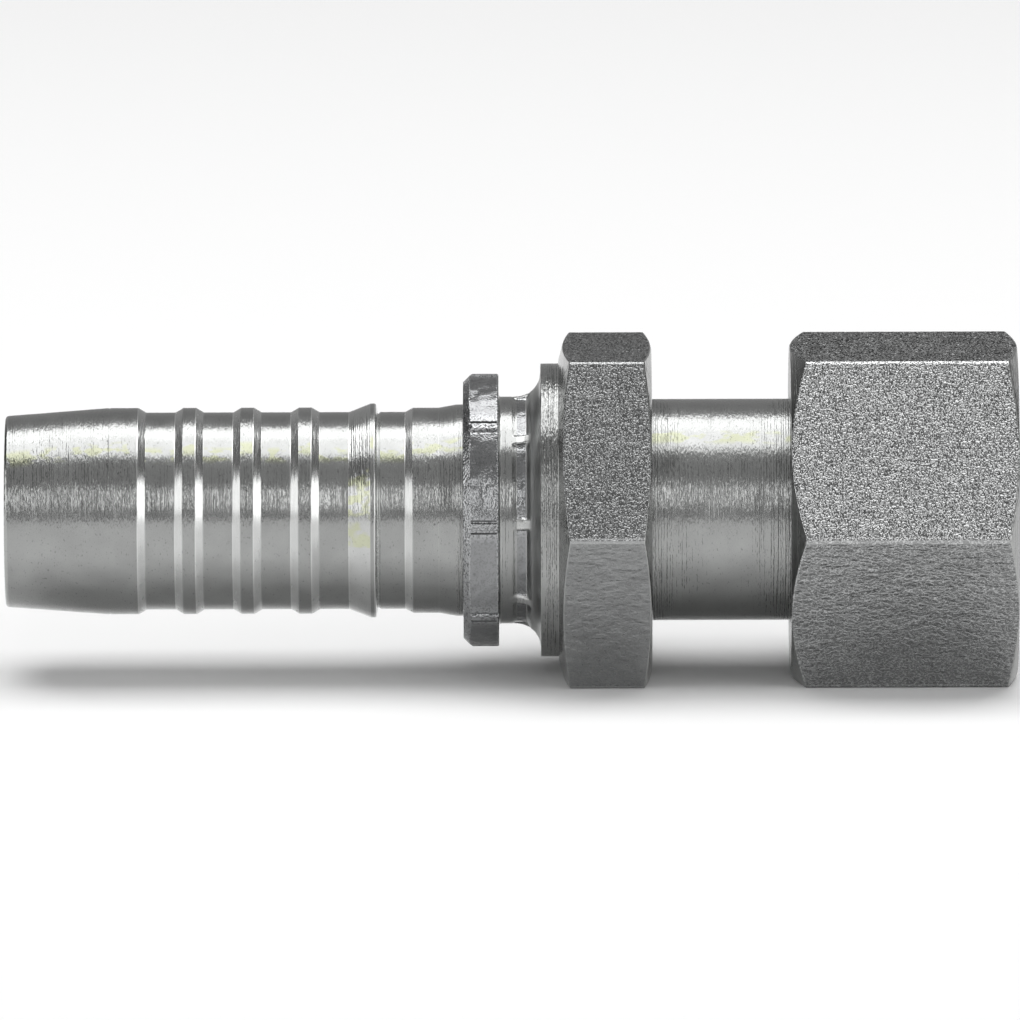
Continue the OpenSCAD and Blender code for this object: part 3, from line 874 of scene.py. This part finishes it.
def thread_points(angle, nut, start, end):
    """Points of the helical thread between two places on the axis, at one angle."""
    _, flank, crest = thread_shape(nut)
    marks = (0, crest / 2, crest, crest + flank / 2, crest + flank, 1 - flank, 1 - flank / 2)
    # Points past an end are held at it, so that every section has as many of them
    turns = math.ceil((end - start) / nut.pitch) + SPARE_TURNS
    shift = angle / math.tau
    points = []
    for turn in range(-SPARE_TURNS, turns):
        for mark in marks:
            along = start + (turn + mark + shift) * nut.pitch
            held = min(max(along, start), end)
            radius = thread_radius((held - start) / nut.pitch - shift, nut)
            opened = max(radius, nut.major_radius + nut.relief - (end - held))
            points.append((held, opened, TURNED, 0.0))
    return points


def nut_section(angle, tail, nut):
    """Section of the swivel nut at one angle, from its rear face round to its bore."""
    flats = hexagon_radius(angle, NUT_FLATS, nut.corner_rounding)
    face = NUT_FLATS / 2 - nut.face_inset
    rear_run = math.tan(nut.rear_angle)
    front_run = math.tan(nut.front_angle)
    bore = tail.swivel_radius + nut.clearance
    relief = nut.major_radius + nut.relief
    edge = nut.edge_rounding
    thread_at = NUT_END - nut.thread
    mouth = relief - nut.core_radius
    outside = rounded([
        (NUT_AT, bore + nut.bore_chamfer, 0, TURNED),
        (NUT_AT, face, edge, TURNED),
        (NUT_AT + (flats - face) * rear_run, flats, nut.flat_rounding, SKIN),
        (NUT_END - (flats - face) * front_run, flats, nut.flat_rounding, TURNED),
        (NUT_END, face, edge, TURNED),
        (NUT_END, relief, 0, TURNED),
    ])
    inside = rounded([
        (thread_at - mouth, relief, 0, TURNED),
        (NUT_AT + nut.wall, relief, 0, TURNED),
        (NUT_AT + nut.wall, bore, nut.bore_rounding, TURNED),
        (NUT_AT + nut.bore_chamfer, bore, 0, TURNED),
    ])
    outside = rub_corner(outside, angle, NUT_FLATS, nut.corner_rounding)
    return outside + thread_points(angle, nut, thread_at, NUT_END)[::-1] + inside


class FITTING_OT_nut(bpy.types.Operator):
    """Builds the swivel nut with its inside thread"""

    bl_idname = "fitting.nut"
    bl_label = "Build Nut"

    def execute(self, context):
        tail = context.scene.fitting_tail
        nut = context.scene.fitting_nut
        look = context.scene.fitting_look
        materials = {
            TURNED: turned_zinc(look, "turned_nut_zinc", look.turned_colour, streak=0.04 * MM,
                                roughness=0.26),
            SKIN: grained_zinc("grained_zinc", look.nut_colour, look.grain, depth=0.14 * MM,
                               dark=0.24, ripple=0.5, floor=0),
        }
        piece = loft("grained_swivel_nut", materials,
                     hexagon_angles(NUT_FLATS, nut.corner_rounding),
                     lambda angle: nut_section(angle, tail, nut))
        place_piece(piece, "nut", "swivel_nut")
        return {"FINISHED"}


# The far wall is dark low at the back, towards these two directions. It darkens between the values
# of WALL_EDGE, as the flags do between those of FLAG_EDGE
WALL_LEFT = (-0.9, 1, -0.6)
WALL_RIGHT = (0.9, 1, -0.6)
WALL_EDGE = (0.1, 0.6)
FLAG_EDGE = (0.3, 0.6)

# Softboxes as (name, middle, width, height, radiance), each turned towards the fitting
SOFTBOXES = (
    ("overhead_back", (0, 0.39, 1.0), 1.3, 0.42, 2.78),
    ("overhead_front", (0, -0.04, 1.0), 1.3, 0.42, 2.16),
    ("front_low", (0, -1.1, 0.5), 0.28, 0.5, 1.8),
    ("right_side", (0.8, -0.5, 0.28), 0.75, 0.56, 2.2),
    ("left_side", (-0.87, -0.35, 0.3), 1.1, 0.5, 1.5),
)


def add_softbox(name, middle, width, height, radiance):
    """Area lamp of a given radiance that faces the fitting."""
    lamp = bpy.data.lights.new(name, "AREA")
    lamp.shape = "RECTANGLE"
    lamp.size = width
    lamp.size_y = height
    lamp.energy = radiance * math.pi * width * height
    holder = bpy.data.objects.new(name, lamp)
    holder.location = middle
    aim = Vector((0, 0, AXIS_HEIGHT)) - Vector(middle)
    holder.rotation_euler = aim.to_track_quat("-Z", "Y").to_euler()
    holder.visible_camera = False
    bpy.context.scene.collection.objects.link(holder)


def white_card(studio):
    """Matt white card: the metal sees it as the camera does, with the fitting's shadow on it."""
    material, tree = new_material("white_card")
    card = add_node(tree, "BsdfDiffuse", {"Color": (*studio.floor_colour, 1)})
    add_node(tree, "OutputMaterial", {"Surface": card})
    return material


def add_floor(reach, material):
    """Level square card under the fitting, from its middle to the given reach."""
    mesh = bpy.data.meshes.new("floor")
    corners = [(-reach, -reach, 0), (reach, -reach, 0), (reach, reach, 0), (-reach, reach, 0)]
    mesh.from_pydata(corners, [], [(0, 1, 2, 3)])
    mesh.materials.append(material)
    card = bpy.data.objects.new("floor", mesh)
    bpy.context.scene.collection.objects.link(card)


def room_world(studio):
    """Pale room, darker low at the back, with a dark flag on the left and on the right."""
    world = bpy.data.worlds.new("room")
    world.use_nodes = True
    tree = world.node_tree
    tree.nodes.clear()
    facing = add_node(tree, "TexCoord", {}).outputs["Generated"]
    sides = [add_node(tree, "VectorMath", {0: facing, 1: towards},
                      operation="DOT_PRODUCT").outputs["Value"]
             for towards in (WALL_LEFT, WALL_RIGHT)]
    low_back = add_node(tree, "Math", {0: sides[0], 1: sides[1]}, operation="MAXIMUM")
    dark = add_node(tree, "MapRange", {0: low_back, 1: WALL_EDGE[0], 2: WALL_EDGE[1], 3: 0, 4: 1})
    walls = add_node(tree, "Mix", {0: dark, 6: (*studio.world_colour, 1),
                                   7: (*studio.far_wall_colour, 1)}, data_type="RGBA").outputs[2]
    across = add_node(tree, "SeparateXYZ", {"Vector": facing}).outputs["X"]
    beside = add_node(tree, "Math", {0: across}, operation="ABSOLUTE")
    flagged = add_node(tree, "MapRange", {0: beside, 1: FLAG_EDGE[0], 2: FLAG_EDGE[1], 3: 0, 4: 1})
    room = add_node(tree, "Mix", {0: flagged, 6: walls, 7: (*studio.flag_colour, 1)},
                    data_type="RGBA").outputs[2]
    light = add_node(tree, "Background", {"Color": room})
    add_node(tree, "OutputWorld", {"Surface": light})
    return world


class FITTING_OT_studio(bpy.types.Operator):
    """Builds the floor, the lamps, the room and the camera"""

    bl_idname = "fitting.studio"
    bl_label = "Build Studio"

    def execute(self, context):
        studio = context.scene.fitting_studio
        add_floor(studio.floor_reach, white_card(studio))
        for softbox in SOFTBOXES:
            add_softbox(*softbox)
        context.scene.world = room_world(studio)
        context.scene.view_settings.view_transform = "Standard"

        camera = bpy.data.cameras.new("camera")
        camera.lens = camera.sensor_width * studio.distance / studio.frame_width
        camera.clip_end = 10
        holder = bpy.data.objects.new("camera", camera)
        target = Vector((studio.shift, 0, AXIS_HEIGHT))
        back = Vector((0, -math.cos(studio.elevation), math.sin(studio.elevation)))
        holder.location = target + back * studio.distance
        turn = (-back).to_track_quat("-Z", "Y").to_matrix().to_4x4()
        holder.rotation_euler = (turn @ Matrix.Rotation(-studio.roll, 4, "Z")).to_euler()
        context.scene.collection.objects.link(holder)
        context.scene.camera = holder
        return {"FINISHED"}


class FITTING_PT_panel(bpy.types.Panel):
    """Sizes, looks and build buttons of the hose fitting"""

    bl_idname = "FITTING_PT_panel"
    bl_label = "Hose Fitting"
    bl_space_type = "VIEW_3D"
    bl_region_type = "UI"
    bl_category = "Hose Fitting"

    def draw(self, context):
        for build in BUILDERS:
            self.layout.operator(build.bl_idname)
        for group in GROUPS:
            settings = getattr(context.scene, group)
            box = self.layout.box()
            for name in settings.__annotations__:
                box.prop(settings, name)


BUILDERS = (FITTING_OT_stem, FITTING_OT_collar, FITTING_OT_nut, FITTING_OT_studio)
GROUPS = {"fitting_tail": TailSizes, "fitting_collar": CollarSizes, "fitting_grip": GripSizes,
          "fitting_nut": NutSizes, "fitting_look": ZincLook, "fitting_studio": StudioSettings}


def register():
    for group in (*GROUPS.values(), *BUILDERS, FITTING_PT_panel):
        bpy.utils.register_class(group)
    for name, group in GROUPS.items():
        setattr(bpy.types.Scene, name, PointerProperty(type=group))


def unregister():
    for name in GROUPS:
        delattr(bpy.types.Scene, name)
    for group in (FITTING_PT_panel, *reversed(BUILDERS), *reversed(GROUPS.values())):
        bpy.utils.unregister_class(group)


def main():
    register()
    bpy.ops.fitting.stem()
    bpy.ops.fitting.collar()
    bpy.ops.fitting.nut()
    bpy.ops.fitting.studio()


if __name__ == "__main__":
    main()
